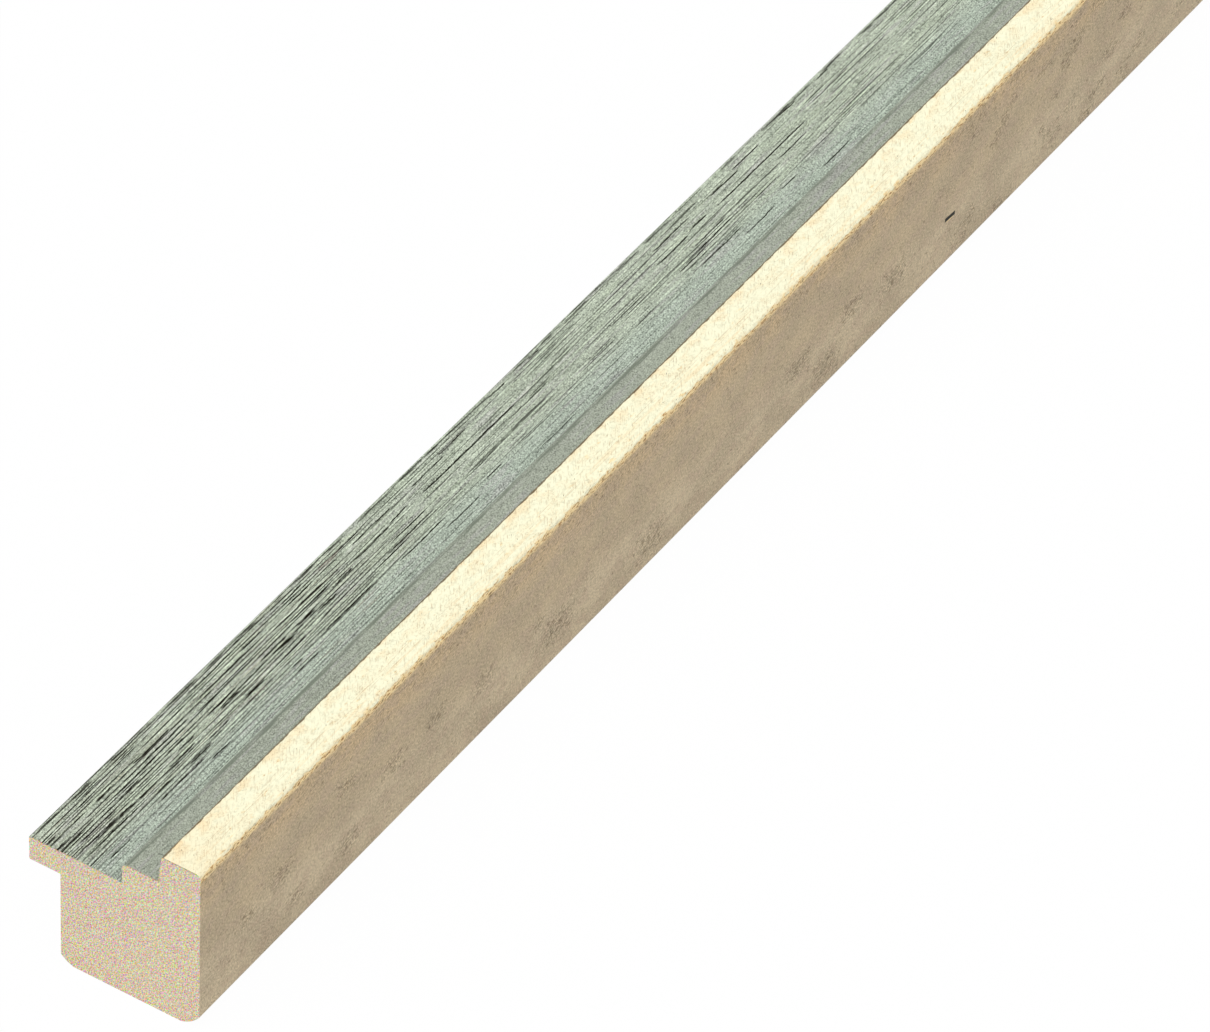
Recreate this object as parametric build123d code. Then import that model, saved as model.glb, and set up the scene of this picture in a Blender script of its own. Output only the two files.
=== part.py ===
"""Picture frame moulding: one stick of milled wood with a rabbet, a weathered sight face, a groove,
a ledge and a raised outer band. Millimetres, +Z up, the stick lies along Y on its flat back."""

from build123d import *
import os

os.makedirs("parts", exist_ok=True)

# Length of the stick, cut square at both ends
stick_length = 1000.0

# Widths across the section, from the sight edge to the outer wall
face_width = 13.65
ledge_width = 5.75
band_width = 5.6

# Heights in the section, from the back up to the top of the band
rabbet_depth = 14.7
lip_thickness = 3.8
ledge_rise = 3.15
band_rise = 4.2

# Rabbet that holds the glass, the picture and the backing
rabbet_width = 4.6

# Shallow hollow where the face runs down to the foot of the riser
hollow_width = 2.0
hollow_depth = 0.25

# The band's inner wall leans outwards from its foot
band_lean = 0.6

# Rounded edges: the top of the riser, the band's two edges and the lip's two edges
riser_round = 0.9
band_inner_round = 0.25
band_outer_round = 0.5
lip_round = 0.25

# Eased edges along the back, each a slightly bulged chamfer
inner_ease_width = 1.85
inner_ease_height = 1.2
inner_ease_bulge = 0.12
outer_ease_width = 2.7
outer_ease_height = 2.1
outer_ease_bulge = 0.3

# No rounding takes more than this share of the wall it is on
rounding_share = 0.4

# Places across the section, measured from the middle of the stick's width
stick_width = face_width + ledge_width + band_width
sight_edge = -stick_width / 2
outer_wall = stick_width / 2
rabbet_wall = sight_edge + rabbet_width
riser = sight_edge + face_width
hollow_start = riser - hollow_width
band_top_edge = outer_wall - band_width
band_foot = band_top_edge - band_lean

# Levels above the back
lip_level = rabbet_depth
face_level = lip_level + lip_thickness
hollow_level = face_level - hollow_depth
ledge_level = face_level + ledge_rise
band_level = ledge_level + band_rise


def eased_edge(start, end, bulge):
    """A shallow arc from start to end that bulges out of the section by the given amount."""
    return SagittaArc(start, end, bulge)


def section_outline():
    """The closed outline of the section, run clockwise from the foot of the rabbet wall."""
    inner_foot = (rabbet_wall, inner_ease_height)
    inner_base = (rabbet_wall + inner_ease_width, 0)
    outer_base = (outer_wall - outer_ease_width, 0)
    outer_foot = (outer_wall, outer_ease_height)
    upper = Polyline(
        inner_foot,
        (rabbet_wall, lip_level),
        (sight_edge, lip_level),
        (sight_edge, face_level),
        (hollow_start, face_level),
        (riser, hollow_level),
        (riser, ledge_level),
        (band_foot, ledge_level),
        (band_top_edge, band_level),
        (outer_wall, band_level),
        outer_foot,
    )
    outer_ease = eased_edge(outer_foot, outer_base, outer_ease_bulge)
    back = Line(outer_base, inner_base)
    inner_ease = eased_edge(inner_base, inner_foot, inner_ease_bulge)
    return upper + outer_ease + back + inner_ease


def corner(section, across, level):
    """The section's corner that stands at this place and level."""
    return section.vertices().sort_by_distance((across, level, 0))[0]


def rounded_section():
    """The section with the edges that the cutters and the sanding leave round."""
    section = make_face(section_outline())
    roundings = [
        (riser, ledge_level, min(riser_round, rounding_share * ledge_rise)),
        (band_top_edge, band_level, min(band_inner_round, rounding_share * band_width)),
        (outer_wall, band_level, min(band_outer_round, rounding_share * band_width)),
        (sight_edge, face_level, min(lip_round, rounding_share * lip_thickness)),
        (sight_edge, lip_level, min(lip_round, rounding_share * lip_thickness)),
    ]
    for across, level, radius in roundings:
        section = fillet(corner(section, across, level), radius)
    return section


# The section stands upright at the far cut end and is drawn out towards the near one
far_end = Plane.XZ.offset(-stick_length / 2)
moulding = extrude(far_end * rounded_section(), amount=stick_length)

export_step(moulding, "parts/moulding.step")
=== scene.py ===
"""A stick of picture frame moulding: weathered grey-green face, ivory band and tan side, over bare wood."""

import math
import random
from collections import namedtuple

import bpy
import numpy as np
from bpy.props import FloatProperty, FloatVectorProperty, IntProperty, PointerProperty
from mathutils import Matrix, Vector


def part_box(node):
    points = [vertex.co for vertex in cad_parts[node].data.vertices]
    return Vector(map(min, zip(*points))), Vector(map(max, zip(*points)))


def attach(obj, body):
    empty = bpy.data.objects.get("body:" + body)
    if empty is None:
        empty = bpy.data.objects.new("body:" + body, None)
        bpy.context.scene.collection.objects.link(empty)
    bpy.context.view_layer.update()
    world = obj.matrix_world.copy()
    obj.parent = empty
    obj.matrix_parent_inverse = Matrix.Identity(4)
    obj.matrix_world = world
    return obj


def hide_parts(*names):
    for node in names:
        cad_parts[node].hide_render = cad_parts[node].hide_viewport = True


bl_info = {
    "name": "Weathered Frame Moulding",
    "version": (1, 0, 0),
    "blender": (4, 5, 0),
    "location": "View3D > Sidebar > Moulding",
    "description": "Mills, paints and lights one stick of picture frame moulding",
    "category": "Add Mesh",
}

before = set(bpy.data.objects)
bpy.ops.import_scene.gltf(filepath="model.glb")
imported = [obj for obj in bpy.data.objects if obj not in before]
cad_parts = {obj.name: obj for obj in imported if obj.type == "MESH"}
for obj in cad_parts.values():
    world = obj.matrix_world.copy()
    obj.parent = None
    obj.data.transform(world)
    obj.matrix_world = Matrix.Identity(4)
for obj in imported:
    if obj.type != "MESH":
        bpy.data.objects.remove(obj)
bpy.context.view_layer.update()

NODE = "moulding"
PIECE = "moulding_stick"
MM = 0.001

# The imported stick's box gives the overall sizes and where the pattern starts
STICK_LOW, STICK_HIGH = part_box(NODE)
SIGHT_EDGE = STICK_LOW.x
NEAR_END = STICK_LOW.y
STICK_WIDTH = STICK_HIGH.x - STICK_LOW.x
STICK_LENGTH = STICK_HIGH.y - STICK_LOW.y
STICK_HEIGHT = STICK_HIGH.z

CHECK_OFFSET = "check_offset"
CHECK_BOLDNESS = "check_boldness"
BAKE_MAP = "OFBake"


def display(red, green, blue):
    """The scene value of a colour written as it shows on a screen, from 0 to 255."""
    def scene_value(level):
        part = level / 255
        return part / 12.92 if part <= 0.04045 else ((part + 0.055) / 1.055) ** 2.4
    return tuple(scene_value(level) for level in (red, green, blue))


def distance(name, description, millimetres):
    """A length property, given in millimetres and kept in metres."""
    return FloatProperty(
        name=name, description=description, default=millimetres * MM, min=0.0,
        unit="LENGTH", subtype="DISTANCE", precision=5,
    )


def share(name, description, default):
    """A property from 0 to 1."""
    return FloatProperty(
        name=name, description=description, default=default, min=0.0, max=1.0, subtype="FACTOR",
    )


def tone(name, description, colour):
    """A colour property."""
    return FloatVectorProperty(
        name=name, description=description, default=colour, size=3, min=0.0, max=1.0, subtype="COLOR",
    )


class SectionSizes(bpy.types.PropertyGroup):
    """Sizes of the milled section. The band takes what is left of the width and the height."""

    face_width: distance("Face width", "Sight edge to the riser", 13.65)
    ledge_width: distance("Ledge width", "Riser to the top of the band's inner wall", 5.75)
    rabbet_depth: distance("Rabbet depth", "Back to the underside of the lip", 14.7)
    rabbet_width: distance("Rabbet width", "Sight edge to the rabbet wall", 4.6)
    lip_thickness: distance("Lip thickness", "Underside of the lip to the face", 3.8)
    ledge_rise: distance("Ledge rise", "Face to the ledge", 3.15)
    hollow_width: distance("Hollow width", "How far the face dips before the riser", 2.0)
    hollow_depth: distance("Hollow depth", "How deep the face dips before the riser", 0.25)
    band_lean: distance("Band lean", "How far the band's inner wall leans outwards", 0.6)
    riser_round: distance("Riser rounding", "Radius along the top of the riser", 0.9)
    inner_round: distance("Inner band rounding", "Radius along the band's inner edge", 0.25)
    outer_round: distance("Outer band rounding", "Radius along the band's outer edge", 0.5)
    lip_round: distance("Lip rounding", "Radius along the two edges of the lip", 0.25)
    inner_ease_width: distance("Inner ease width", "Eased edge of the back, beside the rabbet", 1.85)
    inner_ease_height: distance("Inner ease height", "Eased edge of the back, beside the rabbet", 1.2)
    inner_ease_bulge: distance("Inner ease bulge", "Bulge of that eased edge", 0.12)
    outer_ease_width: distance("Outer ease width", "Eased edge of the back, under the side", 2.7)
    outer_ease_height: distance("Outer ease height", "Eased edge of the back, under the side", 2.1)
    outer_ease_bulge: distance("Outer ease bulge", "Bulge of that eased edge", 0.3)

    @property
    def lip_level(self):
        return self.rabbet_depth

    @property
    def face_level(self):
        return self.rabbet_depth + self.lip_thickness

    @property
    def ledge_level(self):
        return self.face_level + self.ledge_rise

    @property
    def band_edge(self):
        return self.face_width + self.ledge_width


class GrainSettings(bpy.types.PropertyGroup):
    """How the timber's grain and its wear stand in the surface."""

    seed: IntProperty(name="Seed", description="Draws another set of fine checks", default=11)
    check_depth: distance("Check depth", "Depth of the dark splits in the face", 0.13)
    streak_depth: distance("Streak depth", "Unevenness drawn out along the grain", 0.035)
    wear_depth: distance("Wear depth", "Dents along the band's outer edge", 0.16)
    fine_length: distance("Fine length", "Stretch from the near end with close rows", 215.0)
    fine_rows: IntProperty(name="Fine rows", description="Rows in the fine stretch", default=215, min=2)
    plain_rows: IntProperty(name="Plain rows", description="Rows in the rest", default=131, min=2)


class FinishColours(bpy.types.PropertyGroup):
    """Colours of the paints, the film on the side and the bare wood."""

    green: tone("Weathered green", "Body of the face paint", display(176, 185, 167))
    blue: tone("Cool green", "Cooler, calmer paint near the riser", display(172, 183, 169))
    lilac: tone("Lilac grey", "Faint lilac patches in the paint", display(171, 167, 167))
    moss: tone("Moss green", "Faint yellow-green patches in the paint", display(168, 180, 155))
    smudge: tone("Smudge", "Brown-grey rubbed into the face paint", display(122, 114, 94))
    russet: tone("Russet", "Reddish brown in a few worn streaks", display(120, 88, 72))
    check: tone("Check", "Inside of the splits and of the nick", display(26, 24, 14))
    shadow_line: tone("Shadow line", "Dark line along the top of the riser", display(112, 120, 106))
    ledge: tone("Ledge grey", "Body of the ledge paint", display(162, 168, 153))
    ivory: tone("Ivory", "Body of the band paint", display(255, 253, 221))
    peach: tone("Peach", "Thin patches of the band paint", display(255, 228, 180))
    speck: tone("Speck", "Small brown specks and scratches", display(92, 72, 40))
    ochre: tone("Ochre", "Worn spots of the band and of its outer edge", display(178, 132, 76))
    # Gold also serves as the painted highlight along the lower edge of the side's nick
    gold: tone("Gold", "Ground of the worn edge, and the nick's light side", display(255, 227, 170))
    film: tone("Side film", "Body of the side", display(197, 178, 145))
    film_warm: tone("Warm side film", "Warmer film under the worn edge", display(204, 178, 139))
    film_pale: tone("Pale side film", "Cooler film low on the side", display(205, 188, 157))
    film_dark: tone("Dark side film", "Darker drift of the side", display(180, 164, 136))
    film_rosy: tone("Rosy side film", "Faint rosy patches of the side", display(189, 167, 142))
    wood: tone("Bare wood", "Sawn and planed wood", display(224, 207, 180))
    wood_dark: tone("Darker wood", "Pores and darker rings of the wood", display(186, 160, 128))


class StageSettings(bpy.types.PropertyGroup):
    """Camera, light and floor."""

    azimuth: FloatProperty(
        name="Azimuth", description="How far the camera stands round from the near end",
        default=math.radians(31.12), subtype="ANGLE", unit="ROTATION",
    )
    elevation: FloatProperty(
        name="Elevation", description="Height of the camera as an angle",
        default=math.radians(41.99), subtype="ANGLE", unit="ROTATION",
    )
    roll: FloatProperty(
        name="Roll", description="Tilt of the camera about its own axis",
        default=math.radians(2.89), subtype="ANGLE", unit="ROTATION",
    )
    reach: distance("Reach", "Camera to the point of the floor that it looks at", 1099.2)
    aim_across: distance("Aim across", "That point, from the middle of the stick", 1.98)
    aim_along: distance("Aim along", "That point, from the near cut end", 105.54)
    lens: FloatProperty(
        name="Lens", description="Focal length on a 36 mm wide sensor", default=254.8,
        unit="CAMERA", subtype="NONE",
    )
    sky: FloatProperty(name="Sky", description="Strength of the even light all round", default=0.52)
    key: FloatProperty(name="Key", description="Strength of the wide key light", default=1.71)
    key_width: FloatProperty(
        name="Key width", description="Angle that the key light fills", default=math.radians(50),
        subtype="ANGLE", unit="ROTATION",
    )
    floor_shadow: share("Floor shadow", "How much of the floor takes shadow rather than staying white", 0.02)


class Value:
    """A number in a node tree. Arithmetic on it adds Math nodes."""

    def __init__(self, nodes, socket):
        self.nodes = nodes
        self.socket = socket

    def math(self, operation, *operands):
        node = self.nodes.add("ShaderNodeMath", {"operation": operation}, dict(enumerate(operands)))
        return Value(self.nodes, node.outputs[0])

    def __add__(self, other):
        return self.math("ADD", self, other)

    def __radd__(self, other):
        return self.math("ADD", other, self)

    def __sub__(self, other):
        return self.math("SUBTRACT", self, other)

    def __rsub__(self, other):
        return self.math("SUBTRACT", other, self)

    def __mul__(self, other):
        return self.math("MULTIPLY", self, other)

    def __rmul__(self, other):
        return self.math("MULTIPLY", other, self)

    def __truediv__(self, other):
        return self.math("DIVIDE", self, other)

    def __abs__(self):
        return self.math("ABSOLUTE", self)

    def __gt__(self, other):
        return self.math("GREATER_THAN", self, other)

    def __lt__(self, other):
        return self.math("LESS_THAN", self, other)

    def most(self, other):
        """The larger of the two."""
        return self.math("MAXIMUM", self, other)

    def least(self, other):
        """The smaller of the two."""
        return self.math("MINIMUM", self, other)

    def fraction(self):
        """What is over the last whole number."""
        return self.math("FRACT", self)

    def rise(self, low, high):
        """0 below low, 1 above high, and an even curve between them. It falls where high is the lower."""
        flipped = low > high
        start, end = (high, low) if flipped else (low, high)
        node = self.nodes.add(
            "ShaderNodeMapRange", {"interpolation_type": "SMOOTHSTEP"},
            {"Value": self, "From Min": start, "From Max": end},
        )
        curve = Value(self.nodes, node.outputs[0])
        return 1 - curve if flipped else curve


class Nodes:
    """Adds nodes to one tree."""

    def __init__(self, tree):
        self.tree = tree

    def add(self, kind, settings=None, sockets=None):
        """A node of this type. Its settings come first, then the values or links of its sockets."""
        node = self.tree.nodes.new(kind)
        for name, setting in (settings or {}).items():
            setattr(node, name, setting)
        for name, value in (sockets or {}).items():
            self.feed(node.inputs[name], value)
        return node

    def feed(self, socket, value):
        """Links a socket to a value or an output, or sets what it holds."""
        if isinstance(value, Value):
            self.tree.links.new(value.socket, socket)
        elif isinstance(value, bpy.types.NodeSocket):
            self.tree.links.new(value, socket)
        elif socket.type == "RGBA":
            socket.default_value = (*value, 1.0)
        else:
            socket.default_value = value

    def number(self, kind, settings=None, sockets=None):
        """The first output of such a node, as a number."""
        return Value(self, self.add(kind, settings, sockets).outputs[0])


def emptied(owner):
    """The nodes of a material or a world, with none left in its tree."""
    owner.use_nodes = True
    owner.node_tree.nodes.clear()
    return Nodes(owner.node_tree)


def new_object(name, data):
    """An object with this data, linked to the scene."""
    made = bpy.data.objects.new(name, data)
    bpy.context.scene.collection.objects.link(made)
    return made


class Place:
    """Where a point of the stick is, in millimetres: across from the sight edge, along from the near
    cut end, and its level above the back."""

    def __init__(self, nodes, across, along, level):
        self.nodes = nodes
        self.across = across
        self.along = along
        self.level = level

    @classmethod
    def at(cls, nodes, position):
        """The place of a position that is in metres, in the part's own frame."""
        parts = nodes.add("ShaderNodeSeparateXYZ", sockets={0: position})
        x, y, z = (Value(nodes, output) for output in parts.outputs)
        return cls(nodes, (x - SIGHT_EDGE) / MM, (y - NEAR_END) / MM, z / MM)

    def cloud(self, size, length=None, seed=0.0, detail=2.0):
        """Cloudy noise around 0.5, with blobs this large across the grain and this long along it."""
        spread = self.nodes.add("ShaderNodeCombineXYZ", sockets={
            0: self.across / size, 1: self.along / (length or size), 2: self.level / size + seed * 17.3,
        })
        return self.nodes.number("ShaderNodeTexNoise", sockets={
            "Vector": spread.outputs[0], "Scale": 1.0, "Detail": detail,
        })

    def upright(self):
        """The same place for an upright wall, where the grain's width runs up the wall."""
        return Place(self.nodes, self.level, self.along, self.across)

    def turned(self, degrees):
        """The same place with its grain running at an angle to the stick."""
        cosine, sine = math.cos(math.radians(degrees)), math.sin(math.radians(degrees))
        across = self.across * cosine - self.along * sine
        along = self.across * sine + self.along * cosine
        return Place(self.nodes, across, along, self.level)


class Finish:
    """One material, built up as a finisher would: a ground colour, then what is laid over it."""

    # All three are matt, so that dark splits stay dark under the white surroundings
    REFLECTANCE = 0.12

    def __init__(self, name, ground):
        self.material = bpy.data.materials.new(name)
        self.nodes = emptied(self.material)
        self.place = Place.at(self.nodes, self.nodes.add("ShaderNodeTexCoord").outputs["Object"])
        self.colour = tuple(ground)

    def lay(self, colour, mask):
        """Lays a colour over what is there, as far as the mask says."""
        node = self.nodes.add(
            "ShaderNodeMix", {"data_type": "RGBA"}, {0: mask, 6: self.colour, 7: tuple(colour)},
        )
        self.colour = node.outputs[2]

    def shade(self, factor):
        """Darkens or lightens what is there."""
        node = self.nodes.add(
            "ShaderNodeVectorMath", {"operation": "SCALE"}, {0: self.colour, "Scale": factor},
        )
        self.colour = node.outputs[0]

    def speckle(self, size, strengths, seed):
        """Gives each of the three colour channels its own fine noise, each of its own strength."""
        place = self.place
        spread = self.nodes.add("ShaderNodeCombineXYZ", sockets={
            0: place.across / size, 1: place.along / size, 2: place.level / size + seed,
        })
        noise = self.nodes.add("ShaderNodeTexNoise", sockets={
            "Vector": spread.outputs[0], "Scale": 1.0, "Detail": 1.0,
        })
        around_one = self.nodes.add("ShaderNodeVectorMath", {"operation": "MULTIPLY_ADD"}, {
            0: noise.outputs[1],
            1: [2 * strength for strength in strengths],
            2: [1 - strength for strength in strengths],
        })
        node = self.nodes.add(
            "ShaderNodeVectorMath", {"operation": "MULTIPLY"}, {0: self.colour, 1: around_one.outputs[0]},
        )
        self.colour = node.outputs[0]

    def attribute(self, name):
        """A number that the mesh carries."""
        node = self.nodes.add("ShaderNodeAttribute", {"attribute_name": name})
        return Value(self.nodes, node.outputs["Fac"])

    def done(self, roughness, height, relief):
        """Closes the material: its roughness, and a bump of this height in millimetres."""
        bump = self.nodes.add("ShaderNodeBump", sockets={
            "Strength": 1.0, "Distance": relief * MM, "Height": height,
        })
        skin = self.nodes.add("ShaderNodeBsdfPrincipled", sockets={
            "Base Color": self.colour, "Roughness": roughness, "Normal": bump.outputs[0],
            "Specular IOR Level": self.REFLECTANCE,
        })
        output = self.nodes.add("ShaderNodeOutputMaterial", sockets={"Surface": skin.outputs[0]})
        output.is_active_output = True
        return self.material


# A check is a small split along the grain. In millimetres: how far it lies from the sight edge, where it
# starts and ends along the stick, how bold it is from 0 to 1, and how far it wavers sideways
Check = namedtuple("Check", "across start end strength waviness", defaults=(0.03,))

# Splits of the worn stretch beside the near cut end
NEAR_CHECKS = (
    Check(2.0, -1.0, 2.4, 0.7), Check(2.0, 6.7, 10.4, 0.6), Check(2.6, -1.0, 2.3, 0.7),
    Check(3.1, -1.0, 8.0, 0.6), Check(3.1, 9.0, 13.0, 0.5), Check(3.0, 16.7, 25.5, 0.9),
    Check(3.8, 6.0, 12.0, 0.5), Check(3.8, 16.4, 28.0, 0.95), Check(4.2, -1.0, 3.4, 0.8),
    Check(4.1, 28.5, 42.6, 0.7), Check(5.3, 21.0, 26.0, 0.6), Check(5.4, 29.0, 36.0, 0.7),
    Check(6.1, 22.0, 26.0, 0.6), Check(6.1, 31.0, 37.0, 0.6), Check(6.7, -1.0, 9.3, 0.9),
    Check(6.9, 4.0, 13.0, 0.5), Check(6.9, 18.5, 25.5, 0.6), Check(7.4, 33.7, 38.9, 0.9),
    Check(7.8, -1.0, 12.5, 0.8), Check(8.3, 14.0, 19.0, 0.5), Check(8.6, 21.0, 26.0, 0.6),
    Check(8.5, 50.0, 61.0, 0.9), Check(10.2, 1.5, 7.4, 0.6), Check(10.3, 23.0, 28.0, 0.4),
    Check(2.1, 41.0, 46.0, 0.7), Check(2.1, 51.0, 57.0, 0.85), Check(3.3, 46.0, 59.0, 0.85),
    Check(4.15, 49.0, 58.0, 0.95), Check(5.15, 41.0, 47.0, 0.9), Check(5.2, 49.0, 52.5, 1.0),
    Check(5.8, 43.7, 48.5, 0.9), Check(5.8, 52.5, 57.0, 0.8), Check(7.1, 42.6, 48.0, 0.6),
    Check(4.8, 57.0, 61.9, 0.9), Check(1.3, 50.4, 56.0, 0.6), Check(10.0, 41.0, 48.0, 0.35),
)

# Splits of the calmer stretch, which come again and again as far as the far end
REPEATED_CHECKS = (
    Check(2.3, 64.5, 74.0, 0.9), Check(3.85, 70.8, 75.6, 0.85, 0.06), Check(4.2, 62.5, 70.8, 0.9),
    Check(6.1, 68.0, 77.0, 0.6), Check(6.9, 65.0, 78.0, 0.6), Check(7.3, 62.0, 71.0, 0.4),
    Check(8.9, 64.5, 78.0, 0.45), Check(2.3, 78.0, 86.0, 0.8), Check(1.7, 84.5, 92.0, 0.65),
    Check(4.1, 77.0, 100.4, 0.95), Check(0.8, 97.8, 102.0, 1.0), Check(0.8, 107.0, 110.0, 0.8),
    Check(9.1, 84.5, 89.7, 0.4), Check(10.2, 73.0, 84.0, 0.3),
)

# Where the worn stretch ends and the calmer splits start, and after how much of the stick they come again
WORN_STRETCH = 62.0
REPEAT_LENGTH = 69.6

# Fine splits drawn between the placed ones: the lowest, highest and likeliest place across, the shortest
# and longest reach, and the lowest, highest and likeliest boldness
FineChecks = namedtuple("FineChecks", "across reach strength")
WORN_FINE = FineChecks((0.5, 10.5, 4.5), (3.0, 13.0), (0.1, 0.7, 0.35))
CALM_FINE = FineChecks((0.5, 12.0, 6.0), (5.0, 18.0), (0.0, 0.3, 0.05))
WORN_TRIES = 160
CALM_TRIES = 40

# How far over the face the line of the faintest split lies, in millimetres
FAINTEST = 0.12


def room_for(check, others):
    """Whether a split stays clear of the ones that run beside it or in line with it."""
    side_gap, end_gap = 0.6, 0.8
    return all(
        abs(check.across - other.across) > side_gap
        or check.start > other.end + end_gap
        or check.end < other.start - end_gap
        for other in others
    )


def add_fine_checks(draw, checks, tries, starts, fine):
    """Adds the fine splits that find room, out of so many that are drawn."""
    for _ in range(tries):
        start = draw.uniform(*starts)
        across = draw.triangular(*fine.across)
        end = start + draw.uniform(*fine.reach)
        check = Check(across, start, end, draw.triangular(*fine.strength))
        if room_for(check, checks):
            checks.append(check)


def drawn_checks(seed):
    """Every split of the face: those listed, and fine ones drawn at random between them."""
    draw = random.Random(seed)
    checks = list(NEAR_CHECKS)
    length = STICK_LENGTH / MM
    repeats = math.ceil((length - WORN_STRETCH) / REPEAT_LENGTH)
    for number in range(repeats):
        shift = number * REPEAT_LENGTH
        checks += [
            check._replace(start=check.start + shift, end=check.end + shift) for check in REPEATED_CHECKS
        ]
    # A few start before their stretch and run into it
    early = 4.0
    add_fine_checks(draw, checks, WORN_TRIES, (-early, WORN_STRETCH), WORN_FINE)
    add_fine_checks(draw, checks, CALM_TRIES * repeats, (WORN_STRETCH - early, length), CALM_FINE)
    return [check for check in checks if check.start < length]


def check_lines(sizes, grain):
    """The splits as open lines just over the face. They lie higher where they are faint, and rise
    towards their ends, so that their height over the face tells how bold a split is."""
    draw = random.Random(grain.seed + 1)
    points, edges = [], []
    end_rise, step, jitter = 0.18, 0.9, 0.03
    for check in drawn_checks(grain.seed):
        span = check.end - check.start
        count = max(4, int(span / step))
        drift = draw.uniform(0, math.tau)
        first = len(points)
        for index in range(count + 1):
            part = index / count
            wave = math.sin(drift + part * span * 0.9) + 0.6 * math.sin(2 * drift + part * span * 2.3)
            across = check.across + check.waviness * wave + draw.uniform(-jitter, jitter)
            height = FAINTEST * (1 - check.strength) + end_rise * (2 * part - 1) ** 4
            points.append((
                SIGHT_EDGE + across * MM,
                NEAR_END + (check.start + part * span) * MM,
                sizes.face_level + height * MM,
            ))
        edges += [(index, index + 1) for index in range(first, len(points) - 1)]
    mesh = bpy.data.meshes.new("check_lines")
    mesh.from_pydata(points, edges, [])
    return new_object("check_lines", mesh)


# A corner of the section and its rounding, with the stretch that runs from it to the next corner: how
# far apart its points are, and how far it bulges outwards
Corner = namedtuple("Corner", "across level spacing radius bulge", defaults=(0.0, 0.0))


def section_corners(sizes):
    """The section's corners, clockwise from the foot of the rabbet wall, across from the sight edge."""
    width, height = STICK_WIDTH, STICK_HEIGHT
    rabbet, riser, band = sizes.rabbet_width, sizes.face_width, sizes.band_edge
    lip, face, ledge = sizes.lip_level, sizes.face_level, sizes.ledge_level
    return [
        Corner(rabbet, sizes.inner_ease_height, 1.6 * MM),
        Corner(rabbet, lip, 0.9 * MM),
        Corner(0.0, lip, 0.5 * MM, sizes.lip_round),
        Corner(0.0, face, 0.125 * MM, sizes.lip_round),
        Corner(riser - sizes.hollow_width, face, 0.2 * MM),
        Corner(riser, face - sizes.hollow_depth, 0.5 * MM),
        Corner(riser, ledge, 0.36 * MM, sizes.riser_round),
        Corner(band - sizes.band_lean, ledge, 0.6 * MM),
        Corner(band, height, 0.27 * MM, sizes.inner_round),
        Corner(width, height, 0.55 * MM, sizes.outer_round),
        Corner(width, sizes.outer_ease_height, 0.6 * MM, bulge=sizes.outer_ease_bulge),
        Corner(width - sizes.outer_ease_width, 0.0, 1.6 * MM),
        Corner(rabbet + sizes.inner_ease_width, 0.0, 0.6 * MM, bulge=sizes.inner_ease_bulge),
    ]


# How far apart the points of a rounding are, about
ARC_STEP = 0.18 * MM


def rounded_corner(before, corner, after, radius):
    """The points of one corner: the corner itself, or an arc that turns clockwise round it."""
    if radius == 0:
        return [corner]
    into, out = (corner - before).normalized(), (after - corner).normalized()
    turn = into.angle(out)
    start = corner - into * radius * math.tan(turn / 2)
    spoke = Vector((-into.y, into.x)) * radius
    centre = start - spoke
    steps = max(3, round(turn * radius / ARC_STEP))
    points = []
    for index in range(steps + 1):
        points.append(centre + Matrix.Rotation(-turn * index / steps, 2) @ spoke)
    return points


def section_points(sizes):
    """The closed outline of the section as points, close together where the finish has fine relief."""
    corners = section_corners(sizes)
    places = [Vector((corner.across, corner.level)) for corner in corners]
    count = len(corners)
    turned = [
        rounded_corner(places[i - 1], places[i], places[(i + 1) % count], corners[i].radius)
        for i in range(count)
    ]
    points = []
    for i, corner in enumerate(corners):
        points += turned[i]
        start, end = turned[i][-1], turned[(i + 1) % count][0]
        run = end - start
        outwards = Vector((-run.y, run.x)).normalized()
        steps = max(1, round(run.length / corner.spacing))
        for step in range(1, steps):
            part = step / steps
            points.append(start + run * part + outwards * corner.bulge * 4 * part * (1 - part))
    return points


def outline_object(points):
    """The section's outline as a loop of edges, laid as the sweep's profile: its height runs down Y."""
    mesh = bpy.data.meshes.new(PIECE)
    loop = [(SIGHT_EDGE + point.x, -point.y, 0.0) for point in points]
    edges = [(i, (i + 1) % len(loop)) for i in range(len(loop))]
    mesh.from_pydata(loop, edges, [])
    return new_object(PIECE, mesh)


def input_sockets(tree, kinds):
    """Adds the tree's named inputs of these kinds, and returns the outputs that they have inside it."""
    for name, kind in kinds.items():
        tree.interface.new_socket(name, in_out="INPUT", socket_type=kind)
    tree.interface.new_socket("Geometry", in_out="OUTPUT", socket_type="NodeSocketGeometry")
    return tree.nodes.new("NodeGroupInput").outputs


SWEEP_SIZES = (
    "Start", "Length", "Fine Length", "Check Depth", "Streak Depth", "Wear Depth",
    "Lip Level", "Face Level", "Band Edge", "Width", "Height", "Ease Width",
)
SWEEP_INPUTS = {
    "Geometry": "NodeSocketGeometry", "Checks": "NodeSocketObject",
    "Fine Rows": "NodeSocketInt", "Plain Rows": "NodeSocketInt",
    **dict.fromkeys(SWEEP_SIZES, "NodeSocketFloat"),
}


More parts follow.
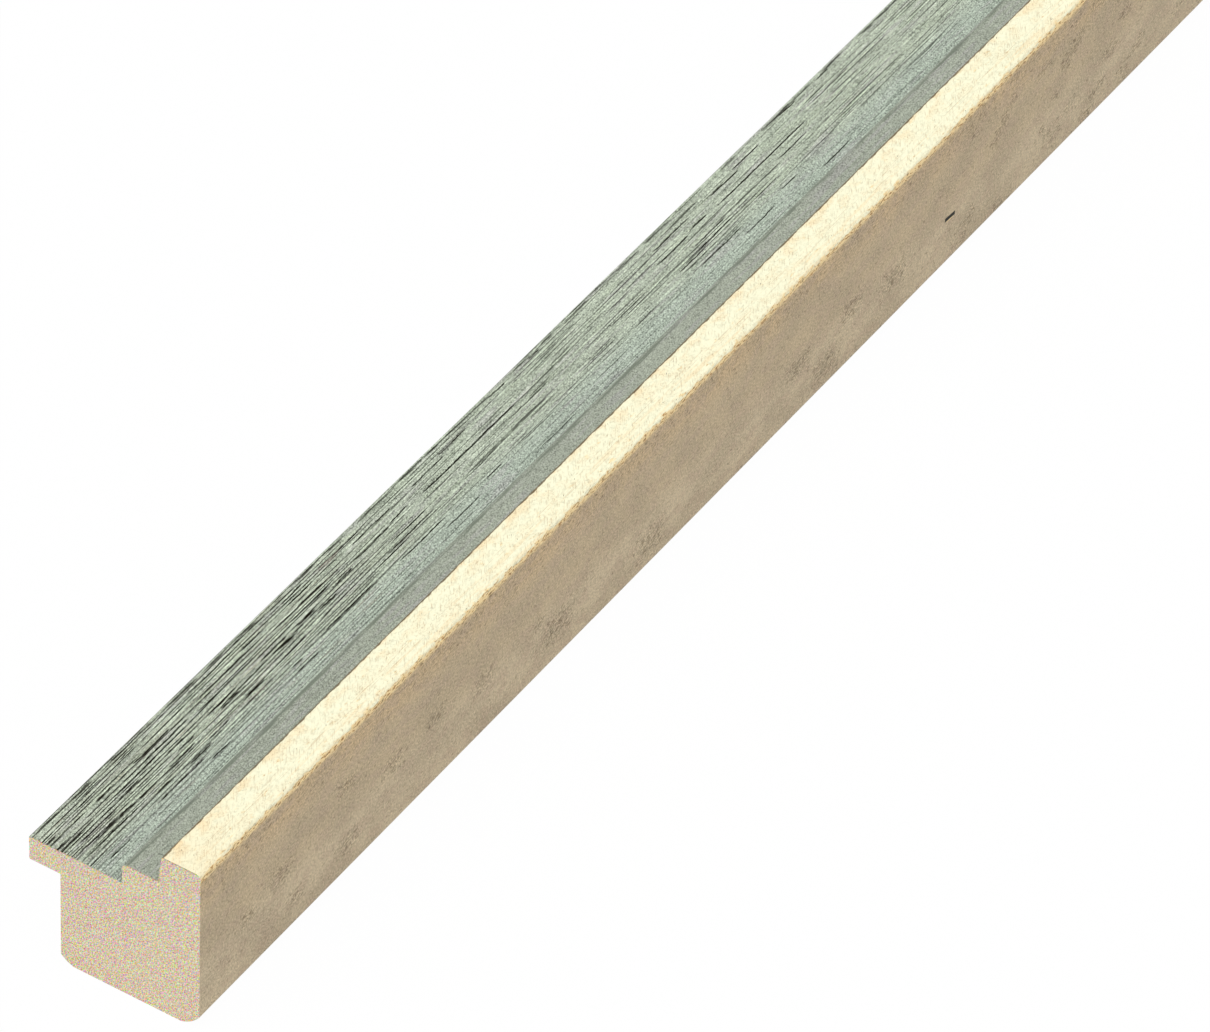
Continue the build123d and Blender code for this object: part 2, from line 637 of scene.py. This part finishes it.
def stick_path(nodes, given):
    """The line that the section follows, with close rows over the fine stretch and wide ones after it."""
    fine_rows, plain_rows = given["Fine Rows"], given["Plain Rows"]
    rows = fine_rows + plain_rows
    line = nodes.add("GeometryNodeCurvePrimitiveLine", sockets={"Start": (0, 0, 0), "End": (0, 1, 0)})
    even = nodes.add("GeometryNodeResampleCurve", {"mode": "COUNT"}, {
        "Curve": line.outputs[0], "Count": rows + 1,
    })
    row = nodes.number("GeometryNodeSplineParameter") * rows
    fine = (row / fine_rows).least(1.0) * given["Fine Length"]
    plain = ((row - fine_rows) / plain_rows).most(0.0) * (given["Length"] - given["Fine Length"])
    spot = nodes.add("ShaderNodeCombineXYZ", sockets={1: given["Start"] + fine + plain})
    path = nodes.add("GeometryNodeSetPosition", sockets={
        "Geometry": even.outputs[0], "Position": spot.outputs[0],
    })
    return path.outputs[0]


def nearest_split(nodes, place, lines, given):
    """How far aside the nearest split lies, in millimetres, and how bold it is there, from 0 to 1."""
    drawn = nodes.add("GeometryNodeObjectInfo", sockets={"Object": lines})
    nearest = nodes.add("GeometryNodeProximity", {"target_element": "EDGES"}, {
        0: drawn.outputs["Geometry"],
    })
    split = Place.at(nodes, nearest.outputs["Position"])
    offset = place.across - split.across
    height = split.level - given["Face Level"] / MM
    on_paint = place.level > given["Lip Level"] / MM + 0.5
    return offset, height.rise(FAINTEST + 0.05, 0.0) * abs(offset).rise(0.29, 0.19) * on_paint


def stored(nodes, geometry, name, number):
    """The geometry with this number kept at its points, and the number read back from there."""
    kept = nodes.add("GeometryNodeStoreNamedAttribute", {"data_type": "FLOAT", "domain": "POINT"}, {
        "Geometry": geometry, "Name": name, "Value": number,
    })
    return kept.outputs[0], nodes.number("GeometryNodeInputNamedAttribute", {"data_type": "FLOAT"}, {0: name})


def relief_depth(place, offset, boldness, given):
    """How far the surface lies under its milled form, in millimetres."""
    painted = place.level.rise(given["Lip Level"] / MM + 0.3, given["Lip Level"] / MM + 0.8)
    inside = place.across.rise(given["Band Edge"] / MM, given["Band Edge"] / MM - 0.3)
    on_paint = painted * inside
    splits = abs(offset).rise(0.14, 0.05) * boldness * given["Check Depth"] / MM
    grain = place.cloud(0.4, 30.0, seed=1).rise(0.42, 0.72) * given["Streak Depth"] / MM
    from_wall = (given["Width"] / MM - place.across).most(0.0)
    from_top = (given["Height"] / MM - place.level).most(0.0)
    near_arris = (from_wall + from_top).rise(1.8, 0.5)
    wear = place.cloud(0.9, 1.6, seed=3, detail=3).rise(0.47, 0.75) * near_arris
    handled = place.cloud(2.5, 6.0, seed=4).rise(0.4, 0.8) * 0.25
    rest = (1 - on_paint) * handled * place.level.rise(0.5, 3.0) * given["Streak Depth"] / MM
    return on_paint * (splits + grain) + wear * given["Wear Depth"] / MM + rest


def pushed_in(nodes, geometry, normal, depth):
    """The geometry with its skin sunk by this depth in millimetres, square to the stick."""
    level_normal = nodes.add("ShaderNodeVectorMath", {"operation": "MULTIPLY"}, {0: normal, 1: (1, 0, 1)})
    outwards = nodes.add("ShaderNodeVectorMath", {"operation": "NORMALIZE"}, {0: level_normal.outputs[0]})
    push = nodes.add("ShaderNodeVectorMath", {"operation": "SCALE"}, {
        0: outwards.outputs[0], "Scale": depth * -MM,
    })
    moved = nodes.add("GeometryNodeSetPosition", sockets={"Geometry": geometry, "Offset": push.outputs[0]})
    return moved.outputs[0]


def smoothed(nodes, geometry):
    """The geometry shaded smooth, but for the section's sharp corners and the rims of the cut ends."""
    crisp_from = math.radians(62)
    bend = nodes.number("GeometryNodeInputMeshEdgeAngle")
    edges = nodes.add("GeometryNodeSetShadeSmooth", {"domain": "EDGE"}, {
        "Geometry": geometry, "Shade Smooth": bend < crisp_from,
    })
    faces = nodes.add("GeometryNodeSetShadeSmooth", {"domain": "FACE"}, {
        "Geometry": edges.outputs[0], "Shade Smooth": True,
    })
    return faces.outputs[0]


def finish_zones(nodes, place, normal, given, finishes):
    """Each finish with the faces that it covers. The bare wood covers all, and the paints go over it."""
    facing = nodes.add("ShaderNodeSeparateXYZ", sockets={0: normal})
    cut_end = abs(Value(nodes, facing.outputs[1])) > 0.5
    wall = 1 - cut_end
    above_lip = place.level > given["Lip Level"] / MM + 0.05
    beyond_band = place.across > given["Band Edge"] / MM + 0.02
    on_ease = place.across > (given["Width"] - given["Ease Width"]) / MM + 0.02
    off_back = place.level > 0.06
    return (
        (finishes["wood"], None),
        (finishes["face"], wall * above_lip * (1 - beyond_band)),
        (finishes["side"], wall * (on_ease * off_back).most(beyond_band * above_lip)),
    )


def sweep_tree(finishes):
    """The tree that draws the section along the stick, sinks the grain into it and lays the finishes."""
    tree = bpy.data.node_groups.new("Milled stick", "GeometryNodeTree")
    nodes = Nodes(tree)
    outputs = input_sockets(tree, SWEEP_INPUTS)
    given = {name: Value(nodes, outputs[name]) for name in SWEEP_INPUTS}

    profile = nodes.add("GeometryNodeMeshToCurve", sockets={0: outputs["Geometry"]})
    stick = nodes.add("GeometryNodeCurveToMesh", sockets={
        "Curve": stick_path(nodes, given), "Profile Curve": profile.outputs[0], "Fill Caps": True,
    })

    place = Place.at(nodes, nodes.add("GeometryNodeInputPosition").outputs[0])
    normal = nodes.add("GeometryNodeInputNormal").outputs[0]
    offset, boldness = nearest_split(nodes, place, outputs["Checks"], given)
    geometry, offset = stored(nodes, stick.outputs[0], CHECK_OFFSET, offset)
    geometry, boldness = stored(nodes, geometry, CHECK_BOLDNESS, boldness)
    geometry = pushed_in(nodes, geometry, normal, relief_depth(place, offset, boldness, given))
    geometry = smoothed(nodes, geometry)

    geometry = nodes.add("GeometryNodeRealizeInstances", sockets={0: geometry}).outputs[0]
    for material, chosen in finish_zones(nodes, place, normal, given, finishes):
        sockets = {"Geometry": geometry, "Material": material}
        if chosen is not None:
            sockets["Selection"] = chosen
        geometry = nodes.add("GeometryNodeSetMaterial", sockets=sockets).outputs[0]
    nodes.add("NodeGroupOutput", sockets={0: geometry})
    return tree


def swept_mesh(outline, lines, sizes, grain, finishes):
    """Runs the sweep on the outline and returns the stick as a plain mesh."""
    tree = sweep_tree(finishes)
    sweep = outline.modifiers.new("Milled stick", "NODES")
    sweep.node_group = tree
    identifiers = {item.name: item.identifier for item in tree.interface.items_tree if item.in_out == "INPUT"}
    amounts = {
        "Checks": lines, "Start": NEAR_END, "Length": STICK_LENGTH,
        "Fine Length": grain.fine_length, "Fine Rows": grain.fine_rows, "Plain Rows": grain.plain_rows,
        "Check Depth": grain.check_depth, "Streak Depth": grain.streak_depth,
        "Wear Depth": grain.wear_depth, "Lip Level": sizes.lip_level, "Face Level": sizes.face_level,
        "Band Edge": sizes.band_edge, "Width": STICK_WIDTH, "Height": STICK_HEIGHT,
        "Ease Width": sizes.outer_ease_width,
    }
    for name, amount in amounts.items():
        sweep[identifiers[name]] = amount
    evaluated = outline.evaluated_get(bpy.context.evaluated_depsgraph_get())
    mesh = bpy.data.meshes.new_from_object(evaluated)
    outline.modifiers.remove(sweep)
    return mesh


def lay_bake_map(mesh, columns):
    """A map with the stick's skin in three lengths, one over another, and the two cut ends above them.
    Each column of faces takes the same height, so the face's fine columns get the most of the map."""
    lengths, edge, strip_height, strip_pitch, ends_start = 3, 0.02, 0.3, 0.305, 0.921
    corner_vertex = np.zeros(len(mesh.loops), int)
    mesh.loops.foreach_get("vertex_index", corner_vertex)
    face_start = np.zeros(len(mesh.polygons), int)
    mesh.polygons.foreach_get("loop_start", face_start)
    face_size = np.zeros(len(mesh.polygons), int)
    mesh.polygons.foreach_get("loop_total", face_size)
    places = np.zeros(len(mesh.vertices) * 3)
    mesh.vertices.foreach_get("co", places)
    places = places.reshape(-1, 3)[corner_vertex]
    face = np.repeat(np.arange(len(face_start)), face_size)

    along = (places[:, 1] - NEAR_END) / STICK_LENGTH
    centre = (np.add.reduceat(along, face_start) / face_size)[face]
    strip = np.clip((centre * lengths).astype(int), 0, lengths - 1)
    column = (corner_vertex % columns).astype(float)
    last_column = np.maximum.reduceat(column, face_start)[face] == columns - 1
    column[last_column & (column == 0)] = columns
    u = edge + (along * lengths - strip) * (1 - 2 * edge)
    v = strip * strip_pitch + column / columns * strip_height

    # Only the two cut ends have more than four corners
    is_end = face_size[face] > 4
    is_far = centre > 0.5
    scale = (1 - 2 * edge) * lengths / STICK_LENGTH
    end_u = edge + (places[:, 0] - SIGHT_EDGE + is_far * 2 * STICK_WIDTH) * scale
    end_v = ends_start + places[:, 2] * scale
    u = np.where(is_end, end_u, u)
    v = np.where(is_end, end_v, v)
    layer = mesh.uv_layers.new(name=BAKE_MAP)
    layer.uv.foreach_set("vector", np.stack([u, v], 1).ravel())


def tint_face(paint, colours, worn, calm, quiet):
    """Faint tints of the face paint, and brown rubbed into it, most of all on the worn stretch."""
    place = paint.place
    paint.lay(colours.lilac, place.cloud(0.6, 9.0, seed=11, detail=3).rise(0.5, 0.68) * 0.45)
    paint.lay(colours.moss, place.cloud(0.6, 7.0, seed=12, detail=3).rise(0.5, 0.68) * (1 - calm) * 0.35)
    rubbed = place.cloud(0.5, 12.0, seed=13).rise(0.46, 0.66)
    paint.lay(colours.smudge, rubbed * (0.05 + 0.17 * worn) * quiet)
    reddish = place.cloud(0.35, 11.0, seed=14).rise(0.62, 0.74)
    paint.lay(colours.russet, reddish * (0.1 + 0.55 * worn) * quiet)


def open_grain(paint, colours, worn, quiet, broken):
    """Rows of open grain, dark along their middle and light beside it. Returns how dark they are."""
    place = paint.place
    pitch = 0.46
    half_width = 0.075 + 0.005 * worn
    rows = place.across / pitch + place.cloud(1.4, 50.0, seed=15, detail=1) * 3.0
    from_row = abs(rows.fraction() - 0.5) * pitch
    runs = (place.cloud(0.45, 14.0, seed=25, detail=1) + worn * 0.14).rise(0.49, 0.6) * quiet
    paint.shade(1 + from_row.rise(0.09, 0.13) * runs * 0.15)
    dark = (half_width - from_row).rise(-0.01, 0.02) * runs * (0.6 + 0.4 * broken)
    paint.lay(colours.check, dark * (0.76 + 0.24 * worn))
    return dark


def edge_lines(paint, colours, riser):
    """The broken dark line along the lip's edge, and the shadow line along the top of the riser."""
    place = paint.place
    edge = place.across + (place.cloud(0.8, 4.0, seed=20) - 0.5) * 0.5
    rim = abs(edge - 0.55).rise(0.16, 0.1)
    paint.lay(colours.check, rim * place.cloud(0.5, 5.0, seed=21).rise(0.42, 0.58) * 0.85)
    line = place.across + (place.cloud(0.8, 5.0, seed=22) - 0.5) * 0.7
    shadow = line.rise(riser - 0.1, riser + 0.6) * line.rise(riser + 1.1, riser + 0.85)
    paint.lay(colours.shadow_line, shadow * (0.2 + 0.65 * place.cloud(0.5, 6.0, seed=23).rise(0.38, 0.6)))


def face_paint(colours, sizes):
    """Weathered grey-green paint over open grain, from the lip's edge to the band's inner edge."""
    paint = Finish("Weathered grey-green paint", colours.green)
    place = paint.place
    ledge = sizes.ledge_level / MM
    worn = place.along.rise(WORN_STRETCH + 18, WORN_STRETCH - 10)
    calm = place.across.rise(7.0, 10.5)
    on_ledge = place.level.rise(ledge - 1.2, ledge - 0.5)
    quiet = (1 - 0.5 * calm) * (1 - 0.65 * on_ledge)
    broken = place.cloud(0.4, 1.6, seed=19, detail=1).rise(0.6, 0.48)

    paint.lay(colours.blue, calm * 0.9)
    paint.lay(colours.ledge, on_ledge)
    tint_face(paint, colours, worn, calm, quiet)
    weave = place.turned(-30).cloud(0.16, 0.24, seed=17, detail=1) - 0.5
    threads = place.cloud(0.17, 7.0, seed=24, detail=1) - 0.5
    drift = place.cloud(3.0, 22.0, seed=18) - 0.5
    paint.shade(1 + weave * (2.5 - 0.6 * on_ledge) + threads * 1.6 * quiet + drift * 0.1)
    dark_rows = open_grain(paint, colours, worn, quiet, broken)

    # Each split has a light rim, a painted highlight, which goes under the edge lines, and a dark middle that
    # goes over them
    wander = place.cloud(0.5, 0.5, seed=10) - 0.5
    offset = abs(paint.attribute(CHECK_OFFSET) + wander * 0.2)
    boldness = paint.attribute(CHECK_BOLDNESS)
    paint.shade(1 + offset.rise(0.11, 0.15) * boldness * 0.3)
    edge_lines(paint, colours, sizes.face_width / MM)
    half_width = 0.05 + 0.06 * boldness + 0.01 * worn
    splits = (half_width - offset).rise(-0.03, 0.03) * boldness.rise(0.0, 0.45)
    paint.lay(colours.check, splits * (0.75 + 0.25 * broken))
    return paint.done(0.58, weave * 0.6 - dark_rows - splits, 0.05)


# Rubbed patches of the side, in millimetres: along from the near end, level, how far they reach
Scuff = namedtuple("Scuff", "along level reach")
SCUFFS = (
    Scuff(10.0, 10.9, 2.0), Scuff(17.4, 12.4, 2.6), Scuff(20.3, 6.5, 1.8), Scuff(31.0, 16.6, 2.2),
    Scuff(32.0, 6.5, 2.4), Scuff(41.0, 12.0, 2.4), Scuff(50.6, 12.7, 2.0), Scuff(61.0, 10.5, 2.2),
    Scuff(73.4, 10.8, 1.4), Scuff(78.0, 7.5, 3.4), Scuff(99.3, 5.9, 3.6), Scuff(134.6, 10.2, 2.8),
    Scuff(141.6, 5.3, 3.2), Scuff(147.4, 11.2, 2.8), Scuff(158.2, 9.0, 3.2),
)
# From here on the rubbed patches are drawn at random
SCUFFS_END = 165.0
# The one deep nick of the side
NICK = Scuff(172.3, 9.7, 1.4)


def ivory_band(paint, colours, from_inner):
    """Thin patches and streaks of the band's paint, ochre brush marks and specks. Returns the marks."""
    place = paint.place
    brushed = place.turned(-35)
    patches = place.cloud(1.4, 3.0, seed=31, detail=3).rise(0.42, 0.66)
    thin = patches * (0.14 + 0.4 * from_inner.rise(2.6, 0.4))
    thin = thin + from_inner.rise(1.2, 0.3) * 0.1 + place.along.rise(16.0, 0.0) * 0.25
    paint.lay(colours.peach, thin)
    streaks = place.cloud(0.45, 9.0, seed=44, detail=2).rise(0.5, 0.64)
    paint.lay(colours.peach, streaks * from_inner.rise(2.6, 4.4) * 0.4)
    stipple = place.cloud(0.2, 0.3, seed=43, detail=1).rise(0.54, 0.66)
    paint.lay(colours.ochre, stipple * (0.04 + 0.2 * patches))
    brush = brushed.cloud(0.12, 1.6, seed=32, detail=1).rise(0.58, 0.72)
    paint.lay(colours.ochre, brush * 0.38)
    lengthwise = place.cloud(0.12, 5.0, seed=33, detail=1).rise(0.6, 0.72)
    paint.lay(colours.ochre, lengthwise * from_inner.rise(2.2, 3.0) * from_inner.rise(4.6, 3.8) * 0.35)
    specks = brushed.cloud(0.18, 0.8, seed=34, detail=0).rise(0.83, 0.88)
    paint.lay(colours.speck, specks * 0.9)
    return brush


def rubbed_patches(place, side):
    """Where the side is rubbed: at the placed patches, and at random ones beyond them."""
    rubbed = side.cloud(4.0, 6.0, seed=38).rise(0.55, 0.68) * place.along.rise(SCUFFS_END, SCUFFS_END + 10)
    for scuff in SCUFFS:
        away = (abs(place.along - scuff.along) * 0.7).most(abs(place.level - scuff.level))
        rubbed = rubbed.most(away.rise(scuff.reach, scuff.reach * 0.2))
    return rubbed


def cut_nick(paint, colours):
    """The nick: dark and slightly aslant, with a painted highlight along its lower edge."""
    place = paint.place
    across_nick = place.level - NICK.level + (place.along - NICK.along) * 0.08
    taper = 1 - (abs(place.along - NICK.along) / NICK.reach).least(1.0)
    paint.lay(colours.check, abs(across_nick).rise(0.36, 0.3) * taper.rise(0.0, 0.15))
    # Painted highlight along the nick's lower edge
    paint.lay(colours.gold, abs(across_nick + 0.45).rise(0.16, 0.06) * taper.rise(0.2, 0.6) * 0.6)


def side_paint(colours, sizes):
    """Ivory paint on the band, worn through to ochre at its outer edge, and the tan film of the side."""
    paint = Finish("Ivory band and tan side", colours.ivory)
    place = paint.place
    side = place.upright()
    top = STICK_HEIGHT / MM
    inner = sizes.band_edge / MM
    below = top - place.level
    brush = ivory_band(paint, colours, place.across - inner)

    # The worn edge, and the film under it
    ragged = (place.cloud(0.5, 1.4, seed=35, detail=3) - 0.5) * 1.8
    film = (below + ragged * 0.5).rise(0.95, 2.1)
    stripe = (below + ragged).rise(0.2, 0.6)
    mottle = side.cloud(0.24, 0.7, seed=37, detail=2)
    paint.lay(colours.gold, stripe)
    paint.lay(colours.ochre, stripe * (mottle + below * 0.02).rise(0.56, 0.62) * 0.95)
    paint.lay(colours.film, film)
    paint.lay(colours.film_warm, film * place.level.rise(top - 8.0, top - 2.5) * 0.8)
    paint.lay(colours.film_pale, film * place.level.rise(15.0, 8.0))
    drift = side.cloud(6.0, 9.0, seed=36)
    paint.lay(colours.film_dark, drift.rise(0.38, 0.66) * film * 0.5)
    paint.lay(colours.film_rosy, side.cloud(1.5, 3.0, seed=42, detail=4).rise(0.46, 0.62) * film * 0.45)

    # The film's fine texture, coarser where it is rubbed, its scratches, the nick with its painted highlight,
    # and a dark line along the band's inner edge
    rough = rubbed_patches(place, side).most(place.level.rise(top - 8.0, top - 1.5) * 0.45)
    fine = side.cloud(0.26, 0.3, seed=39, detail=2)
    paint.shade(1 + (fine - 0.5) * film * (0.8 + 0.9 * rough + 0.8 * drift) - (drift - 0.5) * film * 0.15)
    scratches = (side.turned(20).cloud(0.17, 1.1, seed=40, detail=1) + rough * 0.13).rise(0.67, 0.71)
    paint.lay(colours.speck, scratches * below.rise(0.1, 0.6) * 0.55)
    cut_nick(paint, colours)
    arris = place.across + (place.cloud(0.5, 1.6, seed=41) - 0.5) * 0.5
    paint.lay(colours.speck, arris.rise(inner + 0.32, inner + 0.18) * 0.9)
    height = fine * (0.3 + 0.5 * rough) - brush * 0.3 + mottle * stripe * (1 - film) - scratches
    return paint.done(0.5, height, 0.05)


def bare_wood(colours, sizes):
    """Pale planed wood: sawn across at the cut ends, and grained along the back and the rabbet."""
    wood = Finish("Bare pale wood", colours.wood)
    place = wood.place
    facing = wood.nodes.add("ShaderNodeSeparateXYZ", sockets={
        0: wood.nodes.add("ShaderNodeNewGeometry").outputs["True Normal"],
    })
    cut_end = abs(Value(wood.nodes, facing.outputs[1])).rise(0.4, 0.6)
    planed = 1 - cut_end
    grain = place.cloud(0.5, 40.0, seed=51, detail=3)
    wood.lay(colours.wood_dark, grain.rise(0.4, 0.75) * planed * 0.5)
    pores = place.cloud(0.14, 2.6, seed=52, detail=1).rise(0.62, 0.76)
    wood.lay(colours.wood_dark, pores * planed * 0.6)
    rings = place.cloud(3.0, 60.0, seed=53).rise(0.45, 0.7)
    wood.lay(colours.wood_dark, rings * cut_end * 0.12)

    face, ledge, top = sizes.face_level / MM, sizes.ledge_level / MM, STICK_HEIGHT / MM
    on_ledge = place.across > sizes.face_width / MM
    on_band = place.across > sizes.band_edge / MM - 0.3
    paint_level = face + on_ledge * (ledge - face) + on_band * (top - ledge)
    under_paint = (paint_level - place.level + (place.cloud(0.3, seed=56) - 0.5) * 0.2).rise(0.26, 0.06)
    wood.lay(colours.speck, under_paint * cut_end * 0.4)
    wood.speckle(0.18, (2.0, 1.65, 2.5), 54)
    fine = place.cloud(0.16, 0.16, seed=55, detail=1)
    return wood.done(0.75, fine, 0.03)


class MOULDING_OT_mill_stick(bpy.types.Operator):
    """Mill the moulding's section along its length, sink the grain into it and lay its finishes"""

    bl_idname = "moulding.mill_stick"
    bl_label = "Mill Stick"
    bl_options = {"REGISTER", "UNDO"}

    def execute(self, context):
        scene = context.scene
        sizes, grain, colours = scene.moulding_section, scene.moulding_grain, scene.moulding_colours
        finishes = {
            "face": face_paint(colours, sizes),
            "side": side_paint(colours, sizes),
            "wood": bare_wood(colours, sizes),
        }
        points = section_points(sizes)
        stick = outline_object(points)
        lines = check_lines(sizes, grain)
        mesh = swept_mesh(stick, lines, sizes, grain, finishes)
        if len(mesh.polygons) < len(points):
            raise RuntimeError("the section wasn't drawn along the stick")
        stick.data = mesh
        bpy.data.objects.remove(lines)
        lay_bake_map(mesh, len(points))
        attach(stick, "root")
        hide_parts(NODE)
        return {"FINISHED"}


def white_floor(settings):
    """A white floor that seen directly stays white, and keeps a faint shadow of the stick."""
    material = bpy.data.materials.new("White floor")
    nodes = emptied(material)
    paper = nodes.add("ShaderNodeBsdfDiffuse", sockets={"Color": (0.9, 0.9, 0.9)})
    glow = nodes.add("ShaderNodeEmission", sockets={"Color": (1.0, 1.0, 1.0), "Strength": 1.0})
    mixed = nodes.add("ShaderNodeMixShader", sockets={
        0: seen_directly(nodes) * (1 - settings.floor_shadow), 1: paper.outputs[0], 2: glow.outputs[0],
    })
    nodes.add("ShaderNodeOutputMaterial", sockets={"Surface": mixed.outputs[0]})
    return material


def seen_directly(nodes):
    """1 for rays from the camera, in a reflection or through glass, and 0 for rays that light things."""
    path = nodes.add("ShaderNodeLightPath")
    camera, glossy, clear = (
        Value(nodes, path.outputs[name])
        for name in ("Is Camera Ray", "Is Glossy Ray", "Is Transmission Ray")
    )
    return camera.most(glossy).most(clear)


class MOULDING_OT_lay_stage(bpy.types.Operator):
    """Lay the white floor, set the soft light and stand the camera"""

    bl_idname = "moulding.lay_stage"
    bl_label = "Lay Stage"
    bl_options = {"REGISTER", "UNDO"}

    def execute(self, context):
        scene = context.scene
        settings = scene.moulding_stage
        self.lay_floor(settings)
        self.light_room(scene, settings)
        self.stand_camera(scene, settings)
        scene.view_settings.view_transform = "Standard"
        return {"FINISHED"}

    def lay_floor(self, settings):
        reach = 20.0
        mesh = bpy.data.meshes.new("floor")
        corners = [(-reach, -reach, 0), (reach, -reach, 0), (reach, reach, 0), (-reach, reach, 0)]
        mesh.from_pydata(corners, [], [(0, 1, 2, 3)])
        mesh.materials.append(white_floor(settings))
        floor = new_object("floor", mesh)

    def light_room(self, scene, settings):
        world = bpy.data.worlds.new("Soft room")
        scene.world = world
        nodes = emptied(world)
        white = (1.0, 1.0, 1.0)
        even = nodes.add("ShaderNodeBackground", sockets={"Color": white, "Strength": settings.sky})
        backdrop = nodes.add("ShaderNodeBackground", sockets={"Color": white, "Strength": 1.0})
        mixed = nodes.add("ShaderNodeMixShader", sockets={
            0: seen_directly(nodes), 1: even.outputs[0], 2: backdrop.outputs[0],
        })
        nodes.add("ShaderNodeOutputWorld", sockets={"Surface": mixed.outputs[0]})
        lamp = bpy.data.lights.new("Key", "SUN")
        lamp.energy = settings.key
        lamp.angle = settings.key_width
        key = new_object("Key", lamp)
        towards_lamp = Vector((0.03, -0.3, 0.95))
        key.rotation_euler = towards_lamp.to_track_quat("Z", "Y").to_euler()

    def stand_camera(self, scene, settings):
        data = bpy.data.cameras.new("Camera")
        data.lens = settings.lens
        data.sensor_width = 36.0
        data.clip_start, data.clip_end = 0.005, 50.0
        camera = new_object("Camera", data)
        turn = Matrix.Rotation(settings.azimuth, 4, "Z")
        tilt = Matrix.Rotation(math.pi / 2 - settings.elevation, 4, "X")
        roll = Matrix.Rotation(settings.roll, 4, "Z")
        aim = Matrix.Translation((settings.aim_across, NEAR_END + settings.aim_along, 0.0))
        back = Matrix.Translation((0.0, 0.0, settings.reach))
        camera.matrix_world = aim @ turn @ tilt @ roll @ back
        scene.camera = camera


class MOULDING_PT_panel(bpy.types.Panel):
    """The moulding's steps in the sidebar"""

    bl_idname = "MOULDING_PT_panel"
    bl_label = "Moulding"
    bl_space_type = "VIEW_3D"
    bl_region_type = "UI"
    bl_category = "Moulding"

    def draw(self, context):
        for operator in OPERATORS:
            self.layout.operator(operator.bl_idname)


SETTINGS = {
    "moulding_section": SectionSizes,
    "moulding_grain": GrainSettings,
    "moulding_colours": FinishColours,
    "moulding_stage": StageSettings,
}
OPERATORS = (MOULDING_OT_mill_stick, MOULDING_OT_lay_stage)
CLASSES = (*SETTINGS.values(), *OPERATORS, MOULDING_PT_panel)


def register():
    for cls in CLASSES:
        bpy.utils.register_class(cls)
    for name, group in SETTINGS.items():
        setattr(bpy.types.Scene, name, PointerProperty(type=group))


def unregister():
    for name in SETTINGS:
        delattr(bpy.types.Scene, name)
    for cls in reversed(CLASSES):
        bpy.utils.unregister_class(cls)


def main():
    """Builds the moulding and its stage."""
    register()
    bpy.ops.moulding.mill_stick()
    bpy.ops.moulding.lay_stage()


if __name__ == "__main__":
    main()
